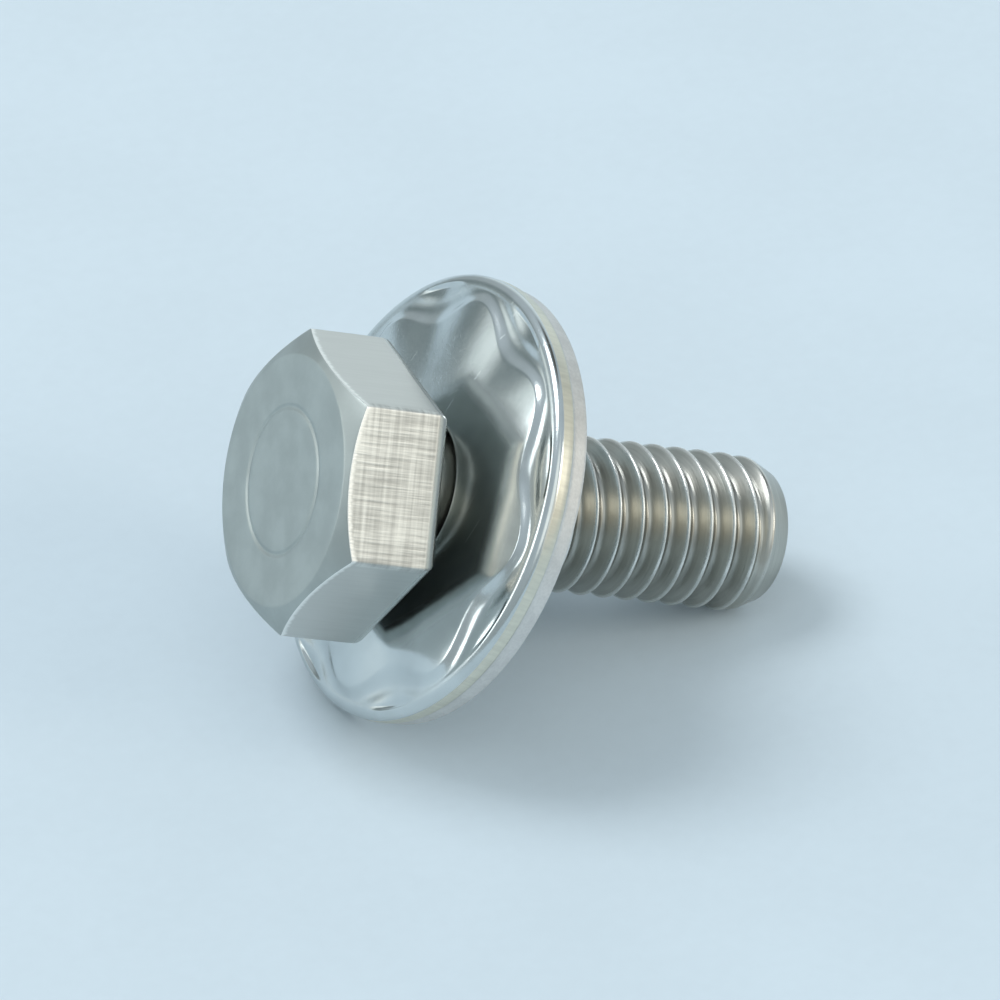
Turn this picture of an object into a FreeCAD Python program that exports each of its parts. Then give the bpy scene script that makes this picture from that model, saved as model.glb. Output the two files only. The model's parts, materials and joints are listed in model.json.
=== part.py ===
import FreeCAD, Part
import math
import os

import Sketcher
from FreeCAD import Placement, Rotation, Vector

# A stainless steel M6 x 16 hex screw with a captive star washer, lying on a flat surface.
# It rests on the rear edge of the washer's rim and on the end of its thread. The threaded
# length is a plain cylinder at the thread's outer diameter.
# In the row frame +Z is up, +X is the way the thread points and the origin is the middle of
# the footprint. Both pieces are built upright: their own Z runs from the head to the thread's
# end, with Z = 0 at the head's underside on the screw and at the rim's front on the washer.

# Driving sizes in millimetres, angles in degrees.
SIZES = {
    # Hexagonal head: cold forged, its top corners cut back by a crown that leaves the top circle
    # at the chamfer's angle, its lower edges rounded by the die.
    "across_flats": 9.9,
    "head_height": 4.2,
    "top_circle": 9.4,
    "top_chamfer": 26.0,
    "die_round": 0.65,
    "corner_round": 0.12,
    "punch_ring": 5.5,
    "punch_ring_width": 0.3,
    "punch_ring_depth": 0.04,
    # Neck and threaded length.
    "neck_diameter": 5.15,
    "neck_fillet": 0.25,
    "neck_play": 0.45,
    "thread_diameter": 6.0,
    "length_under_head": 16.27,
    "run_out": 0.55,
    "end_diameter": 5.0,
    "end_chamfer": 1.1,
    "end_round": 0.3,
    # Washer: punched from sheet, then embossed with a star whose lobes reach for the rim.
    "washer_diameter": 17.1,
    "washer_hole": 5.55,
    "sheet_thickness": 1.45,
    "hole_round": 0.4,
    "rim_roll_width": 0.42,
    "rim_roll_depth": 0.3,
    "rim_land": 0.45,
    "rim_break": 0.08,
    "rim_draft": 0.12,
    "star_rise": 0.46,
    "star_lobes": 8,
    "lobe_radius": 7.85,
    "scallop_radius": 6.85,
    "star_slope": 0.5,
    "star_turn": 24.9,
    # How the washer hangs on the neck.
    "tilt_clearance": 0.0375,
    "head_gap": 0.055,
    # How the screw is turned about its own axis, from the upper side towards -Y.
    "hexagon_turn": 27.0,
}

# Bands that make up the star's S-shaped wall.
STAR_BANDS = 4
# How far a cutting profile reaches outside what it cuts.
CUTTER_MARGIN = 2.0
# The slope at which the crown's cutting arc ends, outside the hexagon's corners.
CROWN_END = 80.0
# How finely the pieces are sampled to find how they rest.
REST_FINENESS = 0.02

doc = FreeCAD.newDocument("hex_screw_with_star_washer")
sheet = doc.addObject("Spreadsheet::Sheet", "Sizes")


def put(name, value):
    """Add a named value to the sheet, or change it."""
    if name not in put.rows:
        put.rows[name] = len(put.rows) + 1
    row = put.rows[name]
    sheet.set(f"A{row}", name)
    sheet.set(f"B{row}", str(value))
    sheet.setAlias(f"B{row}", name)


put.rows = {}


def size(name):
    """Read a named value from the sheet."""
    return float(sheet.get(name))


def washer_values():
    """Where the tilted washer hangs: its hole's two edges bear on the neck."""
    sheet_thickness = size("sheet_thickness")
    hole = size("washer_hole")
    reach = size("neck_diameter") + 2 * size("tilt_clearance")
    tilt = math.acos(reach / math.hypot(hole, sheet_thickness)) - math.atan(sheet_thickness / hole)
    corner = size("across_flats") / math.sqrt(3)
    half_wall = sheet_thickness / 2 * math.cos(tilt)
    centre = half_wall + corner * math.sin(tilt) + size("head_gap")
    rear = centre + half_wall + hole / 2 * math.sin(tilt)
    return {
        "washer_tilt": math.degrees(tilt),
        "washer_centre": centre,
        "neck_length": rear + size("neck_play"),
    }


def origin_plane(body, role):
    """Find one of a body's own origin planes or axes."""
    return next(item for item in body.Origin.OriginFeatures if item.Role == role)


def new_sketch(body, name, plane="XZ_Plane", height=None):
    """Add a sketch on an origin plane, moved along the plane's normal by an expression."""
    sketch = body.newObject("Sketcher::SketchObject", name)
    sketch.AttachmentSupport = [(origin_plane(body, plane), "")]
    sketch.MapMode = "FlatFace"
    if height:
        sketch.setExpression("AttachmentOffset.Base.z", height)
    return sketch


def draw_outline(sketch, corners, arc_radius=None):
    """Draw a closed outline whose corner coordinates follow expressions on the sheet.

    With an arc's radius, the first side is an arc centred on the vertical axis.
    """
    places = [[float(sketch.evalExpression(text)) for text in corner] for corner in corners]
    for index, start in enumerate(places):
        end = places[(index + 1) % len(places)]
        side = Part.LineSegment(Vector(*start, 0), Vector(*end, 0))
        if arc_radius and index == 0:
            radius = float(sketch.evalExpression(arc_radius))
            centre = start[1] + math.sqrt(radius ** 2 - start[0] ** 2)
            angles = [math.atan2(place[1] - centre, place[0]) for place in (start, end)]
            circle = Part.Circle(Vector(0, centre, 0), Vector(0, 0, 1), radius)
            side = Part.ArcOfCircle(circle, *angles)
        sketch.addGeometry(side, False)
    for index in range(len(corners)):
        following = (index + 1) % len(corners)
        sketch.addConstraint(Sketcher.Constraint("Coincident", index, 2, following, 1))
    for index, (corner, place) in enumerate(zip(corners, places)):
        for kind, axis, text, value in zip(("DistanceX", "DistanceY"), (-2, -1), corner, place):
            if abs(value) < 1e-9:
                sketch.addConstraint(Sketcher.Constraint("PointOnObject", index, 1, axis))
                continue
            number = sketch.addConstraint(Sketcher.Constraint(kind, -1, 1, index, 1, value))
            sketch.setExpression(f"Constraints[{number}]", text)
    if arc_radius:
        number = sketch.addConstraint(Sketcher.Constraint("Radius", 0, radius))
        sketch.setExpression(f"Constraints[{number}]", arc_radius)


def turn_profile(body, kind, name, corners, arc_radius=None):
    """Turn an outline in the XZ plane round the body's Z axis, to add or to cut."""
    sketch = new_sketch(body, name + "_outline")
    draw_outline(sketch, corners, arc_radius)
    feature = body.newObject("PartDesign::" + kind, name)
    feature.Profile = sketch
    feature.ReferenceAxis = (sketch, ["V_Axis"])
    feature.Angle = 360
    doc.recompute()
    return feature


def round_edges(body, name, radius, wanted):
    """Round the edges of the body's last feature that the test picks."""
    base = body.Tip
    edges = [f"Edge{n}" for n, edge in enumerate(base.Shape.Edges, 1) if wanted(edge)]
    if not edges:
        raise RuntimeError(f"{name} found no edge")
    fillet = body.newObject("PartDesign::Fillet", name)
    fillet.Base = (base, edges)
    fillet.setExpression("Radius", radius)
    doc.recompute()
    return fillet


def is_ring(edge, radius, height):
    """Tell whether an edge is a circle round Z of this radius at this height."""
    middle = edge.CenterOfMass
    return (
        abs(edge.Length - 2 * math.pi * radius) < 1e-3
        and abs(middle.z - height) < 1e-3
        and math.hypot(middle.x, middle.y) < 1e-3
    )


def add_head(body):
    """Pad the hexagon, round what the die rounds, then cut its crown and the punch's ring."""
    hexagon = new_sketch(body, "hexagon", "XY_Plane")
    corner = "Sizes.across_flats / sqrt(3)"
    draw_outline(hexagon, [(f"{corner} * cos({60 * k})", f"{corner} * sin({60 * k})") for k in range(6)])
    pad = body.newObject("PartDesign::Pad", "head")
    pad.Profile = hexagon
    pad.Reversed = True
    pad.setExpression("Length", "Sizes.head_height")
    doc.recompute()
    round_edges(body, "corner_rounds", "Sizes.corner_round", lambda edge: (
        edge.BoundBox.ZLength > size("head_height") / 2))
    round_edges(body, "die_rounds", "Sizes.die_round", lambda edge: (
        abs(edge.BoundBox.ZMin) < 1e-6 and abs(edge.BoundBox.ZMax) < 1e-6))

    top = "-Sizes.head_height"
    inner = "Sizes.top_circle / 2"
    crown = f"{inner} / sin(Sizes.top_chamfer)"
    outer = f"{crown} * sin({CROWN_END})"
    turn_profile(body, "Groove", "top_crown", [
        (inner, top),
        (outer, f"{top} + {crown} * (cos(Sizes.top_chamfer) - cos({CROWN_END}))"),
        (outer, f"{top} - {CUTTER_MARGIN}"),
        (inner, f"{top} - {CUTTER_MARGIN}"),
    ], arc_radius=crown)
    middle = "Sizes.punch_ring / 2"
    half = "Sizes.punch_ring_width / 2"
    turn_profile(body, "Groove", "punch_ring", [
        (f"{middle} - 2 * {half}", f"{top} - Sizes.punch_ring_depth"),
        (middle, f"{top} + Sizes.punch_ring_depth"),
        (f"{middle} + 2 * {half}", f"{top} - Sizes.punch_ring_depth"),
    ])


def add_shank(body):
    """Turn the neck, the run-out, the threaded length and its chamfered end in one profile."""
    neck = "Sizes.neck_diameter / 2"
    thread = "Sizes.thread_diameter / 2"
    end = "Sizes.end_diameter / 2"
    total = "Sizes.length_under_head"
    turn_profile(body, "Revolution", "shank", [
        ("0", "-Sizes.head_height / 2"),
        (neck, "-Sizes.head_height / 2"),
        (neck, "Sizes.neck_length"),
        (thread, "Sizes.neck_length + Sizes.run_out"),
        (thread, f"{total} - Sizes.end_chamfer"),
        (end, total),
        ("0", total),
    ])
    round_edges(body, "end_round", "Sizes.end_round", lambda edge: is_ring(
        edge, size("end_diameter") / 2, size("length_under_head")))
    round_edges(body, "neck_fillet", "Sizes.neck_fillet", lambda edge: is_ring(
        edge, size("neck_diameter") / 2, 0))


def star_outline(inset):
    """Closed curve of the star, drawn in from its middle line by the inset."""
    lobes = int(size("star_lobes"))
    middle = (size("lobe_radius") + size("scallop_radius")) / 2 - inset
    swing = (size("lobe_radius") - size("scallop_radius")) / 2
    points = []
    for step in range(4 * lobes):
        angle = 2 * math.pi * step / (4 * lobes)
        radius = middle + swing * math.cos(lobes * angle)
        points.append(Vector(radius * math.cos(angle), radius * math.sin(angle), 0))
    curve = Part.BSplineCurve()
    curve.interpolate(Points=points, PeriodicFlag=True)
    return curve


def star_loft(body, kind, name, base, rise, inset):
    """Loft the star's wall as an S-curve between two levels, to add or to cut."""
    sections = []
    for index in range(STAR_BANDS + 1):
        inward = index / STAR_BANDS
        level = inward ** 2 * (3 - 2 * inward)
        sketch = new_sketch(body, f"{name}_section_{index}", "XY_Plane", f"{base} - {level} * {rise}")
        sketch.addGeometry(star_outline(inset + (inward - 0.5) * size("star_slope")), False)
        sections.append(sketch)
    doc.recompute()
    loft = body.newObject("PartDesign::" + kind, name)
    loft.Profile = sections[0]
    loft.Sections = sections[1:]
    loft.Ruled = True
    doc.recompute()
    return loft


def add_washer(body):
    """Turn the sheet ring with its sheared rim, emboss the star and open the hole."""
    rim = "Sizes.washer_diameter / 2"
    roll = "Sizes.rim_roll_depth"
    land = f"{roll} + Sizes.rim_land"
    rear = "Sizes.sheet_thickness"
    core = "Sizes.washer_hole / 4"
    turn_profile(body, "Revolution", "ring", [
        (core, "0"),
        (f"{rim} - Sizes.rim_roll_width", "0"),
        (f"{rim} - Sizes.rim_roll_width * 0.3", f"{roll} * 0.3"),
        (rim, roll),
        (rim, land),
        (f"{rim} - Sizes.rim_break", f"{land} + Sizes.rim_break"),
        (f"{rim} - Sizes.rim_draft", rear),
        (core, rear),
    ])
    star_loft(body, "AdditiveLoft", "star", "0", "Sizes.star_rise", 0)
    slope = math.atan2(size("star_rise"), size("star_slope"))
    inset = size("sheet_thickness") * math.tan(slope / 2)
    star_loft(body, "SubtractiveLoft", "star_recess", rear, "Sizes.star_rise", inset)

    outline = new_sketch(body, "hole_outline", "XY_Plane", f"{rear} + {CUTTER_MARGIN}")
    outline.addGeometry(Part.Circle(Vector(), Vector(0, 0, 1), size("washer_hole") / 2), False)
    outline.addConstraint(Sketcher.Constraint("Coincident", 0, 3, -1, 1))
    number = outline.addConstraint(Sketcher.Constraint("Radius", 0, size("washer_hole") / 2))
    outline.setExpression(f"Constraints[{number}]", "Sizes.washer_hole / 2")
    hole = body.newObject("PartDesign::Pocket", "hole")
    hole.Profile = outline
    hole.setExpression("Length", f"{rear} + Sizes.star_rise + 2 * {CUTTER_MARGIN}")
    doc.recompute()
    round_edges(body, "hole_round", "Sizes.hole_round", lambda edge: is_ring(
        edge, size("washer_hole") / 2, -size("star_rise")))


def relative_placements():
    """Place the pieces on each other, with the screw still upright and its upper side at +X."""
    screw = Placement(Vector(), Rotation(Vector(0, 0, 1), size("hexagon_turn")))
    tilt = Rotation(Vector(0, 1, 0), -size("washer_tilt"))
    turn = Rotation(Vector(0, 0, 1), size("star_turn"))
    hole_middle = Vector(0, 0, size("sheet_thickness") / 2 - size("star_rise"))
    centre = Vector(0, 0, size("washer_centre"))
    washer = Placement(centre - tilt.multVec(hole_middle), tilt * turn)
    return screw, washer


def laying(tilt):
    """Lay the upright pieces down: their Z points along +X, tipped down by the tilt."""
    return Rotation(Vector(0, 1, 0), 90 + tilt) * Rotation(Vector(0, 0, 1), 180)


def lay_down(bodies, placements):
    """Find the tilt at which both pieces touch the ground, then place them on it."""
    clouds = []
    for body, placement in zip(bodies, placements):
        points = body.Shape.tessellate(REST_FINENESS)[0]
        clouds.append([(placement * body.Placement.inverse()).multVec(point) for point in points])

    def lowest(cloud, tilt):
        rotation = laying(tilt)
        return min(rotation.multVec(point).z for point in cloud)

    low, high = 0.0, 60.0
    while high - low > 1e-5:
        middle = (low + high) / 2
        screw_above = lowest(clouds[0], middle) > lowest(clouds[1], middle)
        low, high = (middle, high) if screw_above else (low, middle)
    put("rest_tilt", middle)

    rotation = laying(middle)
    laid = [rotation.multVec(point) for cloud in clouds for point in cloud]
    spans = [[getattr(point, axis) for point in laid] for axis in "xyz"]
    shift = Vector(*(-(min(span) + max(span)) / 2 for span in spans[:2]), -min(spans[2]))
    for body, placement in zip(bodies, placements):
        body.Placement = Placement(shift, rotation) * placement


def check_and_export(bodies):
    """Stop if anything failed, then write one file for each piece."""
    for item in doc.Objects:
        if {"Invalid", "Error"} & set(item.State):
            raise RuntimeError(f"{item.Name} is {item.State}")
    for body in bodies:
        shape = body.Shape
        if shape.isNull() or not shape.isValid() or len(shape.Solids) != 1:
            raise RuntimeError(f"{body.Label} is not one valid solid")
        print(f"{body.Label}: {shape.Volume:.2f} cubic mm, {len(shape.Faces)} faces")
    os.makedirs("parts", exist_ok=True)
    for body in bodies:
        body.Shape.exportStep(os.path.join("parts", body.Label + ".step"))


for key, value in SIZES.items():
    put(key, value)
doc.recompute()
for key, value in washer_values().items():
    put(key, value)
doc.recompute()

screw_body = doc.addObject("PartDesign::Body", "ScrewBody")
screw_body.Label = "hex_screw"
add_head(screw_body)
add_shank(screw_body)

washer_body = doc.addObject("PartDesign::Body", "WasherBody")
washer_body.Label = "star_washer"
add_washer(washer_body)

pieces = [screw_body, washer_body]
lay_down(pieces, relative_placements())
doc.recompute()
check_and_export(pieces)
print(f"rest tilt {size('rest_tilt'):.4f}, washer tilt {size('washer_tilt'):.4f}, "
      f"washer centre {size('washer_centre'):.4f}, neck {size('neck_length'):.4f}")
print("head's underside at", screw_body.Placement.Base, "washer at", washer_body.Placement.Base)
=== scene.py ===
"""A cold-forged hex screw with a captive star washer, drawn and staged around its solids.

The screw's own frame has its Z along the shank from the head's underside and its X through
the first spanner flat. The washer's has its Z through the hole, away from the head, with
Z = 0 at the front of its rim. Lengths are metres.
"""

import json
import math

import bmesh
import bpy
import numpy as np
from bpy.props import FloatProperty, FloatVectorProperty, IntProperty, PointerProperty
from mathutils import Matrix, Vector


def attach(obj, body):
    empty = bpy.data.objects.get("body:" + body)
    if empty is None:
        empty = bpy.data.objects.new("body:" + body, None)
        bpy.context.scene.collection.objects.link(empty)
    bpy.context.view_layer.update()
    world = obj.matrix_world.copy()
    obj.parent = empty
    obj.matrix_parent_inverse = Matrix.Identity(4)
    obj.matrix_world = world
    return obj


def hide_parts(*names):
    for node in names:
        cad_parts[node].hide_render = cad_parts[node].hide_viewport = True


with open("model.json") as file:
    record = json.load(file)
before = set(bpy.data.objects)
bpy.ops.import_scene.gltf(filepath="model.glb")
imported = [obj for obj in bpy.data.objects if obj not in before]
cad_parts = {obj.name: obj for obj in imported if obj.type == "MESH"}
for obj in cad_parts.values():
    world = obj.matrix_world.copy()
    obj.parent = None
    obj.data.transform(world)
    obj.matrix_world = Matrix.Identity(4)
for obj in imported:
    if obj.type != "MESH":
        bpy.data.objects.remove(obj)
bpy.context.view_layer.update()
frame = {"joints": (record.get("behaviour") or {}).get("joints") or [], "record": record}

bl_info = {
    "name": "Hex Screw With Star Washer",
    "version": (1, 0, 0),
    "blender": (4, 5, 0),
    "location": "3D View > Sidebar > Hex Screw",
    "description": "Draws a forged hex screw, its rolled thread and its embossed washer on a pale floor",
    "category": "Add Mesh",
}

MM = 0.001
MOUNTS = {mount["name"]: mount for mount in frame["record"]["mounts"]}
SPIN = frame["joints"][0]

# Angle between a hexagon's corners, and between a thread's flank and the plane square to its axis.
SIXTH = math.radians(60)
FLANK = math.radians(30)
# Columns round the screw in each sixth, and how far they crowd towards the hexagon's corners.
SECTOR_COLUMNS = 36
CORNER_CROWDING = 0.9
# How far the thread's rows crowd towards its crests.
CREST_CROWDING = 0.6
WASHER_COLUMNS = 384
FLOOR_CORNERS = 96
# Points closer than this are the same point.
WELD = 2e-7
# Which steel a row of the screw's head has, and which a row of the washer.
FORGED, TRIMMED, ROLLED = range(3)
SHEET, BURNISHED, FRACTURED = range(3)
# Steepness of the star's wall at a lobe, what it gains where the wall is wide, and the widest
# wall, in millimetres, that gains nothing.
LOBE_STEEPNESS = 1.4
WIDE_STEEPNESS = 1.5
LOBE_WALL = 0.38


def length(name, millimetres, description):
    """A length that a user can change."""
    return FloatProperty(name=name, description=description, default=millimetres * MM, unit="LENGTH",
                         subtype="DISTANCE", precision=5, min=0.0)


def angle(name, degrees, description):
    """An angle that a user can change."""
    return FloatProperty(name=name, description=description, default=math.radians(degrees),
                         unit="ROTATION", subtype="ANGLE")


def colour(name, shade, description):
    """A colour that a user can change."""
    return FloatVectorProperty(name=name, description=description, default=shade, subtype="COLOR",
                               size=3, min=0.0, max=1.0)


class ScrewSizes(bpy.types.PropertyGroup):
    """Sizes of the screw."""
    across_flats: length("Across flats", 9.9, "Width of the hexagon")
    head_height: length("Head height", 4.2, "From the head's underside to its top")
    top_circle: length("Top circle", 9.4, "Diameter of the flat inside the crown")
    top_chamfer: angle("Top chamfer", 26.0, "Slope of the crown where it leaves the top circle")
    corner_round: length("Corner round", 0.12, "Radius of the hexagon's upright corners")
    die_round: length("Die round", 0.65, "Radius round the lower edge of the flats")
    trim_edge: length("Trim edge", 0.035, "Width of the soft edge between crown and flats")
    punch_ring: length("Punch ring", 5.5, "Diameter of the faint ring that the punch left")
    punch_ring_width: length("Punch ring width", 0.3, "Width of that ring")
    punch_ring_depth: length("Punch ring depth", 0.04, "Depth of that ring")
    neck_diameter: length("Neck diameter", 5.15, "Plain neck between head and thread")
    neck_fillet: length("Neck fillet", 0.25, "Radius between the neck and the head")
    run_out: length("Run-out", 0.55, "Length over which the thread rises from the neck")
    end_diameter: length("End diameter", 5.0, "Diameter of the flat end")
    end_chamfer: length("End chamfer", 1.1, "Length of the tapered end")
    end_round: length("End round", 0.3, "Radius between the taper and the flat end")
    pitch: length("Pitch", 1.0, "Distance between neighbouring crests")
    first_crest: length("First crest", 0.59, "A crest's distance from the head on the first flat's line")
    crest_width: length("Crest width", 0.07, "Flat width of a crest")
    crest_round: length("Crest round", 0.13, "Softness of a crest's edges")
    thread_depth: length("Thread depth", 0.6, "From crest to root")
    root_round: length("Root round", 0.3, "Softness of the root")
    last_turn: length("Last turn", 0.45, "Where the thread starts to fade, before the taper")
    fade: length("End fade", 0.7, "Length over which the last turn fades")
    rows_per_turn: IntProperty(name="Rows per turn", description="Mesh rows from crest to crest",
                               default=24, min=8)


class WasherSizes(bpy.types.PropertyGroup):
    """Sizes of the washer."""
    diameter: length("Diameter", 17.1, "Outer diameter")
    hole: length("Hole", 5.55, "Diameter of the hole")
    sheet: length("Sheet", 1.45, "Thickness of the sheet")
    hole_round: length("Hole round", 0.4, "Radius drawn round the hole's front edge")
    star_rise: length("Star rise", 0.46, "Height of the star above the rim")
    lobe_radius: length("Lobe radius", 7.85, "Middle of the star's wall at its lobes")
    scallop_radius: length("Scallop radius", 6.85, "Middle of the star's wall between lobes")
    wall: length("Wall", 0.5, "Width of the star's wall")
    lobes: IntProperty(name="Lobes", description="Lobes of the star", default=8, min=3)
    star_turn: angle("Star turn", 24.9, "Turn of the first lobe from the washer's upper side")
    foot_radius: length("Foot radius", 8.02, "Circle at which the pockets between lobes end")
    pocket_depth: length("Pocket depth", 0.05, "How far the pockets sink below the rim")
    ridge_round: length("Ridge round", 0.05, "Softness of the star's ridge")
    dome: length("Dome", 0.27, "How far the star's face falls from hole to ridge")
    roll_width: length("Roll width", 0.42, "Width of the rolled-over rim")
    roll_depth: length("Roll depth", 0.3, "Depth of the rolled-over rim")
    land: length("Land", 0.45, "Height of the burnished band round the edge")
    rim_break: length("Rim break", 0.08, "Step between the burnished and the fractured band")
    draft: length("Draft", 0.12, "How far the edge leans in towards the back")


class SteelColours(bpy.types.PropertyGroup):
    """Colours of the steels and of the floor."""
    forged: colour("Forged steel", (0.41, 0.445, 0.43), "The head's top")
    trimmed: colour("Trimmed steel", (0.57, 0.575, 0.55), "The hexagon's flats")
    rolled: colour("Rolled steel", (0.48, 0.48, 0.44), "Neck and thread")
    sheet: colour("Sheet steel", (0.60, 0.64, 0.64), "The washer's faces")
    burnished: colour("Burnished steel", (0.70, 0.68, 0.58), "The bright band round the washer's edge")
    fractured: colour("Fractured steel", (0.68, 0.67, 0.65), "The matte band round the washer's edge")
    floor: colour("Floor", (0.615, 0.708, 0.775), "Pale blue paper")


def frame_at(origin, along, sideways):
    """Matrix of a frame with its Z along one way and its X as near as possible to another."""
    z = Vector(along).normalized()
    x = Vector(sideways)
    x = (x - z * z.dot(x)).normalized()
    matrix = Matrix((x, z.cross(x), z)).transposed().to_4x4()
    matrix.translation = origin
    return matrix


def screw_frame(sizes):
    """Frame of the screw, from its top face and first flat."""
    top = MOUNTS["head_top"]
    along = -Vector(top["axis"])
    underside = Vector(top["pos_m"]) + along * sizes.head_height
    return frame_at(underside, along, MOUNTS["spanner_flat_1"]["axis"])


def washer_frame(sizes):
    """Frame of the washer, from its hinge and bearing face."""
    along = Vector(SPIN["axis"])
    middle = Vector(SPIN["pos_m"])
    upper = Vector(MOUNTS["washer_bearing_face"]["pos_m"]) - middle
    return frame_at(middle - along * (sizes.sheet / 2 - sizes.star_rise), along, upper)


def thread_span(sizes):
    """Where the neck ends and where the shank ends, from the head's underside."""
    thread = MOUNTS["thread"]
    start = screw_frame(sizes).inverted() @ Vector(thread["pos_m"])
    half = thread["dims"]["length_mm"] * MM / 2
    return start.z - half - sizes.run_out, start.z + half + sizes.end_chamfer


class Term:
    """A number in a node tree. Arithmetic on terms adds the Math nodes for it."""

    def __init__(self, graph, socket):
        self.graph = graph
        self.socket = socket

    def math(self, operation, *others):
        node = self.graph.add("ShaderNodeMath", {"operation": operation})
        for slot, value in zip(node.inputs, (self, *others)):
            self.graph.feed(slot, value)
        return Term(self.graph, node.outputs[0])

    def __add__(self, other):
        return self.math("ADD", other)

    def __sub__(self, other):
        return self.math("SUBTRACT", other)

    def __rsub__(self, other):
        return (self * -1).math("ADD", other)

    def __mul__(self, other):
        return self.math("MULTIPLY", other)

    def __truediv__(self, other):
        return self.math("DIVIDE", other)

    def __abs__(self):
        return self.math("ABSOLUTE")

    __radd__ = __add__
    __rmul__ = __mul__

    def sin(self):
        return self.math("SINE")

    def cos(self):
        return self.math("COSINE")

    def at_most(self, other):
        return self.math("MINIMUM", other)

    def at_least(self, other):
        return self.math("MAXIMUM", other)

    def step(self, low, high):
        """0 below low, 1 above high and an S-curve between them."""
        return Term(self.graph, self.graph.add(
            "ShaderNodeMapRange", {"interpolation_type": "SMOOTHSTEP"},
            {"Value": self, "From Min": low, "From Max": high}).outputs["Result"])


class Graph:
    """A node tree that is written as expressions."""

    def __init__(self, tree):
        self.tree = tree

    def add(self, kind, settings=None, sockets=None):
        """Add a node, set its settings, then feed its sockets by name."""
        node = self.tree.nodes.new(kind)
        for name, value in (settings or {}).items():
            setattr(node, name, value)
        for name, value in (sockets or {}).items():
            self.feed(next(slot for slot in node.inputs if slot.name == name and slot.enabled), value)
        return node

    def feed(self, slot, value):
        """Link a term or socket to a slot, or write a plain value there."""
        if isinstance(value, Term):
            value = value.socket
        if isinstance(value, bpy.types.NodeSocket):
            self.tree.links.new(value, slot)
        elif slot.type == "RGBA" and len(value) == 3:
            slot.default_value = (*value, 1.0)
        else:
            slot.default_value = value

    def term(self, socket):
        return Term(self, socket)

    def split(self, vector):
        """The three numbers of a vector."""
        node = self.add("ShaderNodeSeparateXYZ", {}, {"Vector": vector})
        return [Term(self, socket) for socket in node.outputs]

    def join(self, x, y, z):
        return self.add("ShaderNodeCombineXYZ", {}, {"X": x, "Y": y, "Z": z}).outputs["Vector"]

    def mix(self, factor, first, second):
        """Blend two colours."""
        node = self.add("ShaderNodeMix", {"data_type": "RGBA"}, {
            "Factor": factor, "A": first, "B": second})
        return next(socket for socket in node.outputs if socket.enabled)

    def noise(self, vector, scale, detail):
        """Smooth noise of about 0 to 1."""
        node = self.add("ShaderNodeTexNoise", {}, {"Vector": vector, "Scale": scale, "Detail": detail})
        return Term(self, node.outputs["Fac"])

    def stretched_noise(self, vector, factors, detail, turn=(0.0, 0.0, 0.0)):
        """Noise with its own scale along each axis, turned if need be."""
        mapping = self.add("ShaderNodeMapping", {}, {
            "Vector": vector, "Scale": factors, "Rotation": turn})
        return self.noise(mapping.outputs["Vector"], 1.0, detail)


class Steel(Graph):
    """A steel whose pattern is laid out in a piece's own frame, in millimetres."""

    def __init__(self, name, place):
        self.material = bpy.data.materials.new(name)
        self.material.use_nodes = True
        super().__init__(self.material.node_tree)
        self.tree.nodes.clear()
        back = place.inverted()
        spot = self.add("ShaderNodeTexCoord").outputs["Object"]
        self.spot = self.add("ShaderNodeMapping", {}, {
            "Vector": spot, "Location": back.translation / MM, "Rotation": back.to_euler(),
            "Scale": (1 / MM, 1 / MM, 1 / MM)}).outputs["Vector"]

    def finish(self, shade, roughness, height, relief):
        """Set up the surface: relief is how many metres one unit of height stands for."""
        bump = self.add("ShaderNodeBump", {}, {"Height": height, "Distance": relief, "Strength": 1.0})
        surface = self.add("ShaderNodeBsdfPrincipled", {}, {
            "Base Color": shade, "Roughness": roughness, "Metallic": 1.0,
            "Normal": bump.outputs["Normal"]})
        self.add("ShaderNodeOutputMaterial", {}, {"Surface": surface.outputs["BSDF"]})
        return self.material


def tint(shade, factor):
    """A colour made lighter or darker."""
    return tuple(min(1.0, part * factor) for part in shade)


def forged_steel(place, shade):
    """Dull die-forged skin with a fine grain."""
    steel = Steel("forged_steel", place)
    patches = steel.noise(steel.spot, 0.7, 3.0)
    grain = steel.noise(steel.spot, 11.0, 3.0)
    base = steel.mix(patches.step(0.3, 0.7), tint(shade, 0.93), tint(shade, 1.06))
    return steel.finish(base, 0.42 + 0.1 * grain, patches * 4.0 + grain, 0.0015 * MM)


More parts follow.
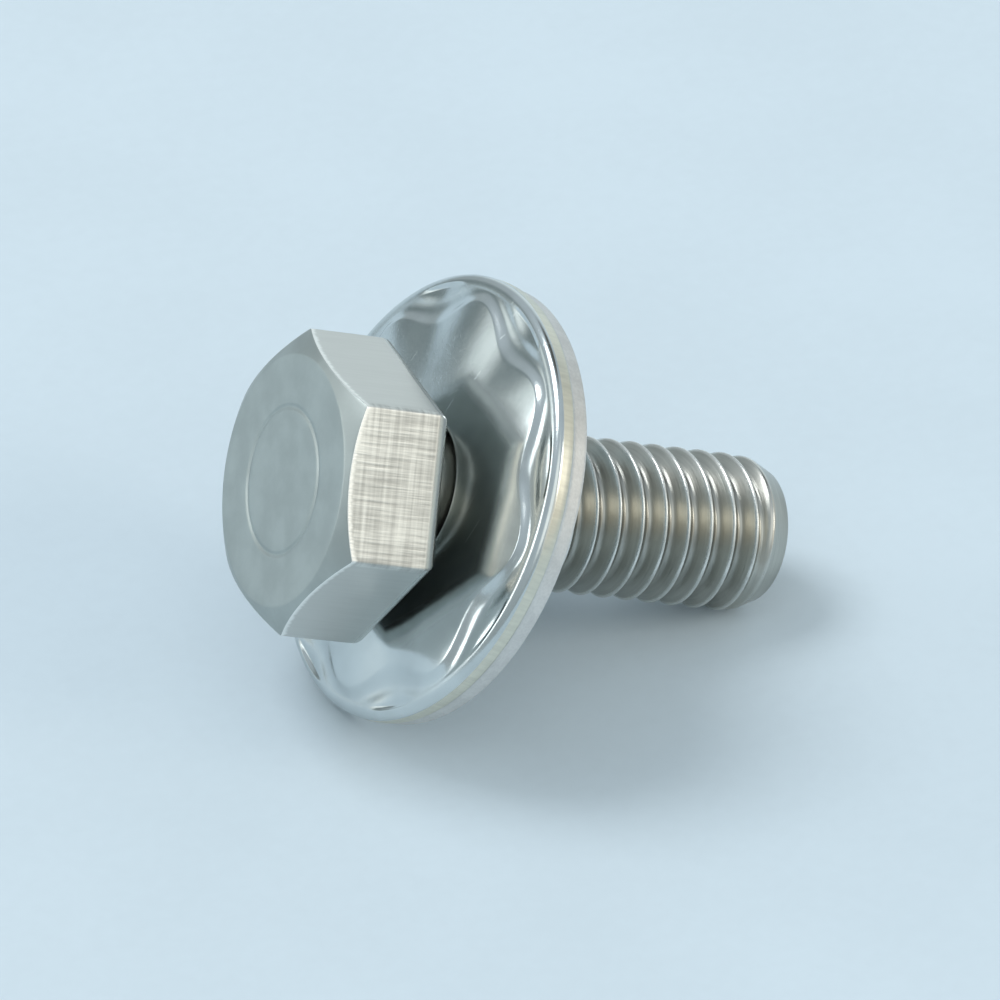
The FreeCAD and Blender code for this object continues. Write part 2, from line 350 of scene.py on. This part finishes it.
def trimmed_steel(place, shade, sizes):
    """Sheared flats whose upper edges are burred and lightened as a painted highlight, with a smooth
    lower round; the first is woven with streaks.
    """
    steel = Steel("trimmed_steel", place)
    x, y, z = steel.split(steel.spot)
    lower_round = -sizes.die_round / MM
    apothem = sizes.across_flats / 2 / MM
    flat = 1 - z.step(lower_round - 0.05, lower_round + 0.1)
    first = x.step(apothem - 0.35, apothem - 0.1) * flat
    along = steel.stretched_noise(steel.spot, (7.0, 7.0, 0.3), 3.0)
    fine = steel.stretched_noise(steel.spot, (16.0, 16.0, 0.9), 2.0)
    across = steel.stretched_noise(steel.spot, (0.25, 0.25, 6.0), 2.0)
    weave = (along - 0.5) * 1.3 + (fine - 0.5) * 0.5 + (across - 0.5) * 1.1 * first
    pattern = weave * (0.12 + 0.88 * first)
    # The burred upper edge, lightened as a painted highlight, follows the crown, a ball whose middle
    # lies on the screw's axis.
    crown = sizes.top_circle / 2 / math.sin(sizes.top_chamfer) / MM
    centre = (crown * MM * math.cos(sizes.top_chamfer) - sizes.head_height) / MM
    depth = crown - (x * x + y * y + (z - centre) * (z - centre)).math("SQRT")
    burr_and_highlight = (1 - (depth + (along - 0.5) * 0.25).step(0.05, 0.2)) * flat
    streaks = (0.5 + pattern * 1.5).at_least(0.0).at_most(1.0)
    base = steel.mix(streaks, tint(shade, 0.74), tint(shade, 1.3))
    # Painted highlight: the burred upper edge of each flat is blended towards near-white.
    base = steel.mix(burr_and_highlight * 0.85, base, (0.93, 0.93, 0.90))
    rough = 0.3 + 0.16 * first - 0.04 * (1 - flat)
    return steel.finish(base, rough, pattern * 1.2 + burr_and_highlight * fine, 0.007 * MM)


def rolled_steel(place, shade, sizes):
    """Thread and neck: fine marks along the turns, with painted shade darkening the roots and a painted
    highlight lightening the crests.
    """
    steel = Steel("rolled_steel", place)
    major = MOUNTS["thread"]["dims"]["r_mm"]
    x, y, z = steel.split(steel.spot)
    out = (x * x + y * y).math("SQRT")
    turn = y.math("ARCTAN2", x)
    along = z - turn * (sizes.pitch / MM / math.tau)
    marks = steel.noise(steel.join(along * 14.0, turn * 1.2, out * 14.0), 1.0, 3.0)
    nicks = steel.noise(steel.spot, 6.0, 2.0)
    crest = out.step(major - 0.14, major - 0.01)
    root = 1 - out.step(major - 0.58, major - 0.25)
    base = steel.mix(marks, tint(shade, 0.78), tint(shade, 1.18))
    # Painted shade: the roots between the turns are darkened.
    base = steel.mix(root * 0.45, base, tint(shade, 0.55))
    # Painted highlight: the crests are lightened towards near-white, broken up by the nicks.
    base = steel.mix(crest * (0.45 + 0.4 * nicks), base, (0.88, 0.88, 0.85))
    rough = 0.25 + 0.1 * marks - 0.06 * crest
    return steel.finish(base, rough, marks + nicks * crest, 0.005 * MM)


def sheet_steel(place, shade):
    """Bright tumbled sheet: soft waves, peening dents and a few scratches."""
    steel = Steel("sheet_steel", place)
    waves = steel.noise(steel.spot, 0.5, 2.0)
    peen = steel.noise(steel.spot, 3.2, 2.0)
    grain = steel.noise(steel.spot, 12.0, 3.0)
    dents = steel.noise(steel.spot, 6.5, 1.0).step(0.62, 0.74)
    scratch = steel.stretched_noise(steel.spot, (0.5, 14.0, 0.5), 1.0, (0.3, 0.2, 0.9)).step(0.72, 0.8)
    base = steel.mix(waves.step(0.3, 0.7), tint(shade, 0.93), tint(shade, 1.05))
    height = waves * 6.0 + peen * 0.8 + grain * 0.25 - dents * 0.4 - scratch * 1.2
    return steel.finish(base, 0.13 + 0.08 * grain, height, 0.0016 * MM)


def burnished_steel(place, shade):
    """Sheared bright band, streaked along the washer's axis."""
    steel = Steel("burnished_steel", place)
    streaks = steel.stretched_noise(steel.spot, (8.0, 8.0, 0.8), 3.0)
    base = steel.mix(streaks, tint(shade, 0.8), tint(shade, 1.15))
    return steel.finish(base, 0.24 + 0.16 * streaks, streaks, 0.005 * MM)


def fractured_steel(place, shade):
    """Torn band: matte and grainy."""
    steel = Steel("fractured_steel", place)
    grain = steel.noise(steel.spot, 9.0, 4.0)
    patches = steel.stretched_noise(steel.spot, (1.5, 1.5, 0.6), 2.0)
    mottle = (grain * 0.5 + patches * 0.5).step(0.3, 0.7)
    base = steel.mix(mottle, tint(shade, 0.9), tint(shade, 1.08))
    return steel.finish(base, 0.42 + 0.12 * grain, grain + patches, 0.008 * MM)


def sector_angles(columns):
    """Angles of the screw's columns from a corner on, crowded towards each corner."""
    turn = np.arange(columns * 6) / columns
    crowded = turn - CORNER_CROWDING * np.sin(math.tau * turn) / math.tau
    return crowded * SIXTH - SIXTH / 2


def hexagon_radius(angles, apothem, corner):
    """Distance from the axis to a hexagon with rounded corners and a flat at angle 0."""
    from_flat = np.abs((angles + SIXTH / 2) % SIXTH - SIXTH / 2)
    from_corner = SIXTH / 2 - from_flat
    centre = (apothem - corner) / math.cos(SIXTH / 2)
    tangent = math.atan((apothem - corner) * math.tan(SIXTH / 2) / apothem)
    on_flat = apothem / np.cos(from_flat)
    inside = np.maximum(corner ** 2 - (centre * np.sin(from_corner)) ** 2, 0.0)
    on_corner = centre * np.cos(from_corner) + np.sqrt(inside)
    return np.where(from_flat < tangent, on_flat, on_corner)


def ring_mesh(name, rings, angles, material_of_row, first_pole=None, last_pole=None, closed=False):
    """Mesh of rings round the Z axis, each a radius and a height for every column.

    A pole is the height of a closing point on the axis; a closed mesh joins its last ring to its first.
    """
    count = len(angles)
    flat = []
    for radii, heights in rings:
        radii = np.broadcast_to(radii, count)
        heights = np.broadcast_to(heights, count)
        flat.append(np.stack([radii * np.cos(angles), radii * np.sin(angles), heights], axis=1))
    points = [tuple(point) for point in np.concatenate(flat)]
    faces, materials = [], []
    following = [(column + 1) % count for column in range(count)]
    last = len(rings) if closed else len(rings) - 1
    for row in range(last):
        here, there = row * count, (row + 1) % len(rings) * count
        for column, neighbour in enumerate(following):
            faces.append((here + column, here + neighbour, there + neighbour, there + column))
        materials += [material_of_row[row]] * count
    for pole, row in ((first_pole, 0), (last_pole, len(rings) - 1)):
        if pole is None:
            continue
        points.append((0.0, 0.0, pole))
        for column, neighbour in enumerate(following):
            rim = (row * count + column, row * count + neighbour)
            faces.append((*(rim if row else rim[::-1]), len(points) - 1))
        materials += [material_of_row[min(row, last - 1)]] * count
    mesh = bpy.data.meshes.new(name)
    mesh.from_pydata(points, [], faces)
    mesh.polygons.foreach_set("material_index", materials)
    return mesh


def weld(name, meshes, place, materials):
    """Join meshes whose edges meet into one closed, smooth mesh, put it in place and check it."""
    joined = bmesh.new()
    for mesh, first_material in meshes:
        known = len(joined.faces)
        joined.from_mesh(mesh)
        joined.faces.ensure_lookup_table()
        for face in joined.faces[known:]:
            face.material_index += first_material
        bpy.data.meshes.remove(mesh)
    bmesh.ops.remove_doubles(joined, verts=joined.verts, dist=WELD)
    bmesh.ops.dissolve_degenerate(joined, edges=joined.edges, dist=WELD)
    bmesh.ops.recalc_face_normals(joined, faces=joined.faces)
    if any(not edge.is_manifold for edge in joined.edges):
        raise RuntimeError(f"{name} is not closed")
    if joined.calc_volume(signed=True) < 0:
        bmesh.ops.reverse_faces(joined, faces=joined.faces)
    joined.transform(place)
    for face in joined.faces:
        face.smooth = True
    mesh = bpy.data.meshes.new(name)
    joined.to_mesh(mesh)
    joined.free()
    for material in materials:
        mesh.materials.append(material)
    piece = bpy.data.objects.new(name, mesh)
    bpy.context.scene.collection.objects.link(piece)
    return piece


def shares(steps):
    """Equal steps from 0, which is left out, to 1."""
    return np.linspace(0, 1, steps + 1)[1:]


def bends(steps):
    """Angles in equal steps from 0, which is left out, to a right angle."""
    return shares(steps) * math.pi / 2


def head_rings(sizes, angles, neck_end):
    """Rings of the head and neck from the top's middle to the thread, with each row's material."""
    half = sizes.across_flats / 2
    corner = sizes.corner_round
    top = -sizes.head_height
    inner = sizes.top_circle / 2
    outline = hexagon_radius(angles, half, corner)
    rings, materials = [], []

    def add(radii, heights, material):
        rings.append((radii, heights))
        materials.append(material)

    # The top, with the punch's ring pressed into it.
    ring = sizes.punch_ring / 2
    width = sizes.punch_ring_width
    first_ring = 0.3 * MM
    for radius in np.linspace(first_ring, ring - width, 8):
        add(radius, top, FORGED)
    for share in np.linspace(-1, 1, 9):
        depth = sizes.punch_ring_depth * (0.5 + 0.5 * math.cos(math.pi * share))
        add(ring + share * width / 2, top + depth, FORGED)
    for radius in np.linspace(ring + width, inner - 2 * sizes.trim_edge, 6):
        add(radius, top, FORGED)

    # The crown, part of a ball, and the soft edge where the flats are trimmed.
    crown = inner / math.sin(sizes.top_chamfer)
    centre = top + crown * math.cos(sizes.top_chamfer)
    trim = sizes.trim_edge
    edge = inner + trim
    add(inner, top + 0.15 * trim, FORGED)
    for share in np.linspace(0, 1, 8):
        radii = edge + (outline - trim - edge) * share
        add(radii, centre - np.sqrt(crown ** 2 - radii ** 2), FORGED)
    rim = centre - np.sqrt(crown ** 2 - outline ** 2)
    add(outline - 0.25 * trim, rim + 0.05 * trim, FORGED)
    add(outline, rim + 0.6 * trim, TRIMMED)
    flat_start = rim + 1.5 * trim
    add(outline, flat_start, TRIMMED)

    # The flats, their lower round, the underside, the neck's fillet and the neck.
    die = sizes.die_round
    for share in np.linspace(0.1, 1, 7):
        add(outline, flat_start + (-die - flat_start) * share, TRIMMED)
    for bend in bends(8):
        inset = die * (1 - math.cos(bend))
        add(hexagon_radius(angles, half - inset, corner), die * (math.sin(bend) - 1), TRIMMED)
    under = hexagon_radius(angles, half - die, corner)
    neck = sizes.neck_diameter / 2
    fillet = sizes.neck_fillet
    for share in shares(5):
        add(under + (neck + fillet - under) * share, 0.0, FORGED)
    for bend in bends(6):
        add(neck + fillet * (1 - math.sin(bend)), fillet * (1 - math.cos(bend)), ROLLED)
    for share in shares(4):
        add(neck, fillet + (neck_end - fillet) * share, ROLLED)
    return rings, materials


def end_slope(sizes):
    """Angle of the end's taper from the axis."""
    rise = MOUNTS["thread"]["dims"]["r_mm"] * MM - sizes.end_diameter / 2
    return math.atan2(rise, sizes.end_chamfer)


def end_rings(sizes, total):
    """Rings of the shank's end, from the taper round the edge to the flat."""
    radius = sizes.end_diameter / 2
    slope = end_slope(sizes)
    bend = math.pi / 2 - slope
    reach = sizes.end_round * math.tan(bend / 2)
    centre = radius - reach
    rings = []
    for turn in np.linspace(slope, math.pi / 2, 9):
        rings.append((centre + sizes.end_round * math.cos(turn),
                      total - sizes.end_round * (1 - math.sin(turn))))
    for share in (0.66, 0.33):
        rings.append((centre * share, total))
    return rings


THREAD_INPUTS = {
    "NodeSocketInt": ("Columns", "Rows Per Turn", "Turns"),
    "NodeSocketFloat": (
        "Crowding", "Pitch", "First Crest", "Start", "End", "Major Radius", "Neck Radius", "Run Out",
        "Depth", "Crest Width", "Crest Round", "Root Round", "Taper End Radius", "Taper Slope",
        "Fade Start", "Fade"),
}


def thread_tree(material):
    """Node tree that rolls a thread: a grid whose rows follow the helix.

    Rows beyond either end gather on the end's circle, where the thread has no height left.
    """
    tree = bpy.data.node_groups.new("Rolled thread", "GeometryNodeTree")
    tree.interface.new_socket("Geometry", in_out="OUTPUT", socket_type="NodeSocketGeometry")
    inputs = {}
    for kind, names in THREAD_INPUTS.items():
        for name in names:
            inputs[name] = tree.interface.new_socket(name, in_out="INPUT", socket_type=kind)
    graph = Graph(tree)
    given = graph.add("NodeGroupInput")
    value = {name: graph.term(given.outputs[name]) for name in inputs}

    rows = value["Turns"] * value["Rows Per Turn"]
    grid = graph.add("GeometryNodeMeshGrid", {}, {
        "Size X": rows, "Size Y": value["Columns"],
        "Vertices X": rows + 1, "Vertices Y": value["Columns"] + 1})
    x, y, _ = graph.split(graph.add("GeometryNodeInputPosition").outputs["Position"])
    row = (x + rows / 2) / value["Rows Per Turn"]
    column = (y / value["Columns"] + 0.5) * 6

    around = (column - value["Crowding"] * (column * math.tau).sin() / math.tau) * SIXTH
    turn = around - SIXTH / 2
    along = (row - CREST_CROWDING * (row * math.tau).sin() / math.tau) * value["Pitch"]
    height = value["First Crest"] + along + turn * value["Pitch"] / math.tau
    height = height.at_least(value["Start"]).at_most(value["End"])

    half = value["Pitch"] / 2
    from_crest = abs(along.math("WRAP", half, half * -1))
    flank = value["Major Radius"] - (from_crest - value["Crest Width"] / 2) / math.tan(FLANK)
    crest = flank.math("SMOOTH_MIN", value["Major Radius"], value["Crest Round"])
    profile = crest.math("SMOOTH_MAX", value["Major Radius"] - value["Depth"], value["Root Round"])

    rise = height.step(value["Start"], value["Start"] + value["Run Out"])
    blank = value["Neck Radius"] + (value["Major Radius"] - value["Neck Radius"]) * rise
    taper = value["Taper End Radius"] + (value["End"] - height) * value["Taper Slope"]
    limit = blank.at_most(taper)
    cut = rise * (1 - height.step(value["Fade Start"], value["Fade Start"] + value["Fade"]))
    radius = limit - cut * (limit - profile).at_least(0.0)

    spot = graph.join(radius * turn.cos(), radius * turn.sin(), height)
    surface = grid.outputs["Mesh"]
    for kind, sockets in (
            ("SetPosition", {"Position": spot}), ("MergeByDistance", {"Distance": WELD}),
            ("RealizeInstances", {}), ("SetMaterial", {"Material": material})):
        node = graph.add("GeometryNode" + kind, {}, {"Geometry": surface, **sockets})
        surface = node.outputs["Geometry"]
    graph.add("NodeGroupOutput", {}, {"Geometry": surface})
    return tree, {name: socket.identifier for name, socket in inputs.items()}


def roll_thread(sizes, material, start, end, end_radius):
    """Run the thread's node tree and return its plain mesh."""
    tree, identifiers = thread_tree(material)
    carrier = bpy.data.objects.new("thread_carrier", bpy.data.meshes.new("thread_carrier"))
    bpy.context.scene.collection.objects.link(carrier)
    modifier = carrier.modifiers.new("Rolled thread", "NODES")
    modifier.node_group = tree
    pitch = sizes.pitch
    first = sizes.first_crest + math.floor((start - sizes.first_crest) / pitch - 1) * pitch
    for name, number in {
            "Columns": SECTOR_COLUMNS * 6, "Rows Per Turn": sizes.rows_per_turn,
            "Turns": math.ceil((end - first) / pitch) + 1, "Crowding": CORNER_CROWDING,
            "Pitch": pitch, "First Crest": first, "Start": start, "End": end,
            "Major Radius": MOUNTS["thread"]["dims"]["r_mm"] * MM,
            "Neck Radius": sizes.neck_diameter / 2, "Run Out": sizes.run_out,
            "Depth": sizes.thread_depth, "Crest Width": sizes.crest_width,
            "Crest Round": sizes.crest_round, "Root Round": sizes.root_round,
            "Taper End Radius": end_radius, "Taper Slope": math.tan(end_slope(sizes)),
            "Fade Start": thread_span(sizes)[1] - sizes.end_chamfer - sizes.last_turn,
            "Fade": sizes.fade}.items():
        modifier[identifiers[name]] = number
    evaluated = carrier.evaluated_get(bpy.context.evaluated_depsgraph_get())
    mesh = bpy.data.meshes.new_from_object(evaluated)
    blank = carrier.data
    bpy.data.objects.remove(carrier)
    bpy.data.meshes.remove(blank)
    return mesh


class HEXSCREW_OT_screw(bpy.types.Operator):
    """Draw the screw: head and neck in rings, the rolled thread and the tapered end"""
    bl_idname = "hexscrew.screw"
    bl_label = "Screw"

    def execute(self, context):
        sizes = context.scene.screw_sizes
        colours = context.scene.steel_colours
        place = screw_frame(sizes)
        neck_end, total = thread_span(sizes)
        angles = sector_angles(SECTOR_COLUMNS)
        rings, rows = head_rings(sizes, angles, neck_end)
        head = ring_mesh("head", rings, angles, rows[1:], first_pole=-sizes.head_height)
        tip_rings = end_rings(sizes, total)
        tip = ring_mesh("tip", tip_rings, angles, [0] * len(tip_rings), last_pole=total)
        steels = [forged_steel(place, colours.forged), trimmed_steel(place, colours.trimmed, sizes),
                  rolled_steel(place, colours.rolled, sizes)]
        end_radius, thread_end = tip_rings[0]
        thread = roll_thread(sizes, steels[ROLLED], neck_end, thread_end, end_radius)
        piece = weld("forged_hex_screw", [(head, 0), (thread, ROLLED), (tip, ROLLED)], place, steels)
        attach(piece, "screw")
        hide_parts("hex_screw")
        return {"FINISHED"}


def washer_rings(sizes, angles):
    """Rings of the washer from its hole over the front, the edge and the back, with materials."""
    star = np.cos(sizes.lobes * (angles - sizes.star_turn))
    middle = (sizes.lobe_radius + sizes.scallop_radius) / 2
    middle = middle + (sizes.lobe_radius - sizes.scallop_radius) / 2 * star
    hole = sizes.hole / 2
    mouth = hole + sizes.hole_round
    rim = sizes.diameter / 2
    front = -sizes.star_rise
    ridge = middle - sizes.wall / 2
    rings, materials = [], []

    def add(radii, heights, material=SHEET):
        rings.append((radii, heights))
        materials.append(material)

    def front_height(radii):
        """Height of the front at these radii: a domed face, a ridge and a wall with pockets."""
        face = front + sizes.dome * np.clip((radii - mouth) / (ridge - mouth), 0.0, None) ** 2
        span = sizes.foot_radius - ridge
        share = (radii - ridge) / span
        power = LOBE_STEEPNESS + WIDE_STEEPNESS * np.clip(span / MM - LOBE_WALL, 0.0, 1.0)
        inside = np.clip(share, 0.0, 1.0)
        top = front + sizes.dome
        wall = np.where(share < 0, top * (1 - power * share), top * (1 - inside) ** power)
        pocket = sizes.pocket_depth * np.sin(math.pi * inside) ** 2 * (0.5 - 0.5 * star)
        soft = sizes.ridge_round
        blend = np.clip(soft - np.abs(face - wall), 0.0, None) / soft
        return np.maximum(face, wall) + blend ** 3 * soft / 6 + pocket

    # The round of the hole, the domed face, the ridge and the wall down to the rim.
    bead = sizes.hole_round
    add(hole, front + bead)
    for bend in bends(7):
        add(mouth - bead * math.cos(bend), front + bead * (1 - math.sin(bend)))
    beside = 0.22 * MM
    for share in shares(12):
        radii = mouth + (ridge - beside - mouth) * share
        add(radii, front_height(radii))
    for share in shares(16):
        radii = ridge - beside + 2 * beside * share
        add(radii, front_height(radii))
    roll = rim - sizes.roll_width
    for share in shares(12):
        radii = ridge + beside + (roll - ridge - beside) * share
        add(radii, front_height(radii))

    # The rolled-over rim, the burnished band, the step and the fractured band.
    for bend in bends(10):
        add(roll + sizes.roll_width * math.sin(bend), sizes.roll_depth * (1 - math.cos(bend)))
    for share in (0.1, 0.5, 0.92):
        add(rim, sizes.roll_depth + sizes.land * share, BURNISHED)
    land = sizes.roll_depth + sizes.land
    step = sizes.rim_break
    add(rim - 0.1 * step, land, BURNISHED)
    add(rim - 0.75 * step, land + 0.5 * step, FRACTURED)
    add(rim - step, land + step, FRACTURED)
    edge = 0.02 * MM
    rim_end = rim - sizes.draft
    for share in shares(5):
        add(rim - step - (sizes.draft - step) * share,
            land + step + (sizes.sheet - edge - land - step) * share, FRACTURED)
    add(rim_end - 0.3 * edge, sizes.sheet - 0.3 * edge, FRACTURED)
    add(rim_end - edge, sizes.sheet)

    # The back: its flat rim, the hollow under the star and the sharp lip of the hole.
    inset = sizes.sheet * math.tan(math.atan2(sizes.star_rise, sizes.wall) / 2)
    foot = middle - inset + sizes.wall / 2
    for share in shares(8):
        add(rim_end - edge + (foot - rim_end + edge) * share, sizes.sheet)
    for share in shares(12):
        level = share ** 2 * (3 - 2 * share)
        add(foot - sizes.wall * share, sizes.sheet - sizes.star_rise * level)
    back = sizes.sheet - sizes.star_rise
    lip = 0.12 * MM
    for share in shares(8):
        add(foot - sizes.wall + (hole + lip - foot + sizes.wall) * share, back)
    for bend in bends(4):
        add(hole + lip * (1 - math.sin(bend)), back - lip * (1 - math.cos(bend)))
    for share in shares(4)[:-1]:
        add(hole, back - lip + (front + bead - back + lip) * share)
    return rings, materials


class HEXSCREW_OT_washer(bpy.types.Operator):
    """Draw the washer: its embossed star, its rolled and sheared edge and its hollow back"""
    bl_idname = "hexscrew.washer"
    bl_label = "Star washer"

    def execute(self, context):
        sizes = context.scene.washer_sizes
        colours = context.scene.steel_colours
        place = washer_frame(sizes)
        angles = np.arange(WASHER_COLUMNS) * math.tau / WASHER_COLUMNS
        rings, rows = washer_rings(sizes, angles)
        washer = ring_mesh("washer", rings, angles, rows[1:] + rows[:1], closed=True)
        steels = [sheet_steel(place, colours.sheet), burnished_steel(place, colours.burnished),
                  fractured_steel(place, colours.fractured)]
        piece = weld("embossed_star_washer", [(washer, 0)], place, steels)
        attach(piece, "washer")
        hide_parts("star_washer")
        return {"FINISHED"}


class StageSettings(bpy.types.PropertyGroup):
    """Camera, lamps and floor."""
    azimuth: angle("Azimuth", -21.02, "Which way the camera looks from, round the upright axis")
    elevation: angle("Elevation", 36.61, "How steeply the camera looks down")
    distance: length("Distance", 296.78, "From the camera to the head's underside, along its view")
    lens: FloatProperty(name="Lens", description="Focal length in millimetres", default=288.0)
    head_x: FloatProperty(name="Head X", default=381.98,
                          description="Picture column of the middle of the head's underside")
    head_y: FloatProperty(name="Head Y", default=491.96,
                          description="Picture row of the middle of the head's underside")
    floor_radius: length("Floor radius", 2000.0, "Radius of the floor")
    lamp_distance: length("Lamp distance", 1500.0, "From the screw to the lamps")


# Width of the camera's sensor in millimetres, and of the picture in its own units.
SENSOR = 36.0
PICTURE = 1000

UP = Vector((0.0, 0.0, 1.0))
# The lamps: name, way to the right, ahead and up, size in metres, power in watts, and colour.
LAMPS = (
    ("overhead", (-0.56, 0.22, 1.0), 0.75, 8.2, (0.97, 0.99, 1.0)),
    ("side_window", (-0.95, 0.10, 0.25), 0.6, 2.2, (0.95, 0.99, 1.0)),
    ("warm_bounce", (0.85, -0.23, 0.5), 0.6, 3.0, (1.0, 0.95, 0.86)),
)
# Colours of the surroundings at the horizon and overhead.
HORIZON = (0.41, 0.47, 0.49)
ZENITH = (0.57, 0.65, 0.71)
# What stands round the table: way to the right, ahead and up, the angle inside which it is full,
# the angle outside which it is gone, and its colour.
SURROUNDINGS = (
    ((0.25, 0.97, 0.10), 12.0, 40.0, (0.85, 0.96, 1.00)),
    ((-0.90, 0.45, 0.00), 10.0, 28.0, (0.22, 0.27, 0.28)),
    ((-0.94, 0.28, 0.18), 7.0, 15.0, (1.05, 1.14, 1.14)),
    ((0.08, -0.64, 0.76), 14.0, 30.0, (1.25, 1.31, 1.29)),
    ((0.13, 0.50, 0.86), 8.0, 22.0, (0.10, 0.10, 0.09)),
    ((0.90, 0.30, 0.28), 10.0, 24.0, (0.72, 0.75, 0.72)),
    ((0.80, -0.48, 0.38), 12.0, 28.0, (0.95, 0.92, 0.82)),
)


def camera_axes(stage):
    """The camera's right, up and backward ways."""
    turn, tip = stage.azimuth, stage.elevation
    back = Vector((math.sin(turn) * math.cos(tip), -math.cos(turn) * math.cos(tip), math.sin(tip)))
    right = Vector((math.cos(turn), math.sin(turn), 0.0))
    return right, back.cross(right), back


def way_to(axes, parts):
    """A way of length 1, from its parts along some axes."""
    return sum((axis * part for axis, part in zip(axes, parts)), Vector()).normalized()


def add_camera(stage, head):
    """Place the camera so that the head's underside lies at its place in the picture."""
    right, up, back = camera_axes(stage)
    scale = stage.distance * SENSOR / (stage.lens * PICTURE)
    data = bpy.data.cameras.new("camera")
    data.lens = stage.lens
    data.sensor_width = SENSOR
    data.clip_start = 0.01
    data.clip_end = 50.0
    camera = bpy.data.objects.new("camera", data)
    bpy.context.scene.collection.objects.link(camera)
    matrix = Matrix((right, up, back)).transposed().to_4x4()
    matrix.translation = (head + right * (PICTURE / 2 - stage.head_x) * scale
                          + up * (stage.head_y - PICTURE / 2) * scale + back * stage.distance)
    camera.matrix_world = matrix
    bpy.context.scene.camera = camera


def add_lamp(name, way, distance, size, power, shade):
    """A round soft lamp that shines on the screw from one way."""
    data = bpy.data.lights.new(name, "AREA")
    data.shape = "DISK"
    data.size = size
    data.energy = power
    data.color = shade
    lamp = bpy.data.objects.new(name, data)
    bpy.context.scene.collection.objects.link(lamp)
    turn = way.to_track_quat("Z", "Y").to_matrix().to_4x4()
    lamp.matrix_world = Matrix.Translation(way * distance) @ turn


def floor_paper(shade):
    """Matte paper with faint fibres."""
    material = bpy.data.materials.new("floor_paper")
    material.use_nodes = True
    material.node_tree.nodes.clear()
    paper = Graph(material.node_tree)
    spot = paper.add("ShaderNodeTexCoord").outputs["Object"]
    cloud = paper.noise(spot, 90.0, 3.0)
    fibre = paper.noise(spot, 1500.0, 2.0)
    base = paper.mix((cloud * 0.7 + fibre * 0.3).step(0.3, 0.7), tint(shade, 0.98), tint(shade, 1.02))
    surface = paper.add("ShaderNodeBsdfPrincipled", {}, {"Base Color": base, "Roughness": 0.9})
    surface.inputs["Specular IOR Level"].default_value = 0.2
    paper.add("ShaderNodeOutputMaterial", {}, {"Surface": surface.outputs["BSDF"]})
    return material


def add_world(axes):
    """Pale studio surroundings, lighter overhead, with a few darker and lighter places round about."""
    world = bpy.data.worlds.new("studio")
    bpy.context.scene.world = world
    world.use_nodes = True
    world.node_tree.nodes.clear()
    sky = Graph(world.node_tree)
    x, y, z = sky.split(sky.add("ShaderNodeTexCoord").outputs["Generated"])
    shade = sky.mix(z.step(-0.05, 0.9), HORIZON, ZENITH)
    for parts, full, gone, place in SURROUNDINGS:
        way = way_to(axes, parts)
        nearness = x * way.x + y * way.y + z * way.z
        share = nearness.step(math.cos(math.radians(gone)), math.cos(math.radians(full)))
        shade = sky.mix(share, shade, place)
    surface = sky.add("ShaderNodeBackground", {}, {"Color": shade, "Strength": 1.0})
    sky.add("ShaderNodeOutputWorld", {}, {"Surface": surface.outputs["Background"]})


def add_floor(radius, material):
    """A round floor under the screw."""
    turns = [corner * math.tau / FLOOR_CORNERS for corner in range(FLOOR_CORNERS)]
    rim = [(radius * math.cos(turn), radius * math.sin(turn), 0.0) for turn in turns]
    mesh = bpy.data.meshes.new("floor")
    mesh.from_pydata(rim, [], [tuple(range(FLOOR_CORNERS))])
    mesh.materials.append(material)
    floor = bpy.data.objects.new("floor", mesh)
    bpy.context.scene.collection.objects.link(floor)
    return floor


class HEXSCREW_OT_stage(bpy.types.Operator):
    """Set up the floor, the lamps, the surroundings and the camera"""
    bl_idname = "hexscrew.stage"
    bl_label = "Stage"

    def execute(self, context):
        stage = context.scene.stage_settings
        head = screw_frame(context.scene.screw_sizes).translation
        right, _, back = camera_axes(stage)
        axes = (right, Vector((-back.x, -back.y, 0.0)).normalized(), UP)
        add_camera(stage, head)
        add_floor(stage.floor_radius, floor_paper(context.scene.steel_colours.floor))
        for name, parts, size, power, shade in LAMPS:
            add_lamp(name, way_to(axes, parts), stage.lamp_distance, size, power, shade)
        add_world(axes)
        context.scene.view_settings.view_transform = "Standard"
        return {"FINISHED"}


class HEXSCREW_PT_panel(bpy.types.Panel):
    """Panel in the sidebar with the pieces and their sizes"""
    bl_idname = "HEXSCREW_PT_panel"
    bl_label = "Hex Screw"
    bl_space_type = "VIEW_3D"
    bl_region_type = "UI"
    bl_category = "Hex Screw"

    def draw(self, context):
        scene = context.scene
        for operator, settings in (
                (HEXSCREW_OT_screw, scene.screw_sizes), (HEXSCREW_OT_washer, scene.washer_sizes),
                (HEXSCREW_OT_stage, scene.stage_settings)):
            box = self.layout.box()
            box.operator(operator.bl_idname)
            for name in settings.__annotations__:
                box.prop(settings, name)
        box = self.layout.box()
        for name in scene.steel_colours.__annotations__:
            box.prop(scene.steel_colours, name)


CLASSES = (ScrewSizes, WasherSizes, SteelColours, StageSettings, HEXSCREW_OT_screw, HEXSCREW_OT_washer,
           HEXSCREW_OT_stage, HEXSCREW_PT_panel)
SETTINGS = {"screw_sizes": ScrewSizes, "washer_sizes": WasherSizes, "steel_colours": SteelColours,
            "stage_settings": StageSettings}


def register():
    for item in CLASSES:
        bpy.utils.register_class(item)
    for name, group in SETTINGS.items():
        setattr(bpy.types.Scene, name, PointerProperty(type=group))


def unregister():
    for name in SETTINGS:
        delattr(bpy.types.Scene, name)
    for item in reversed(CLASSES):
        bpy.utils.unregister_class(item)


def main():
    """Draw everything in order."""
    register()
    bpy.ops.hexscrew.screw()
    bpy.ops.hexscrew.washer()
    bpy.ops.hexscrew.stage()


if __name__ == "__main__":
    main()
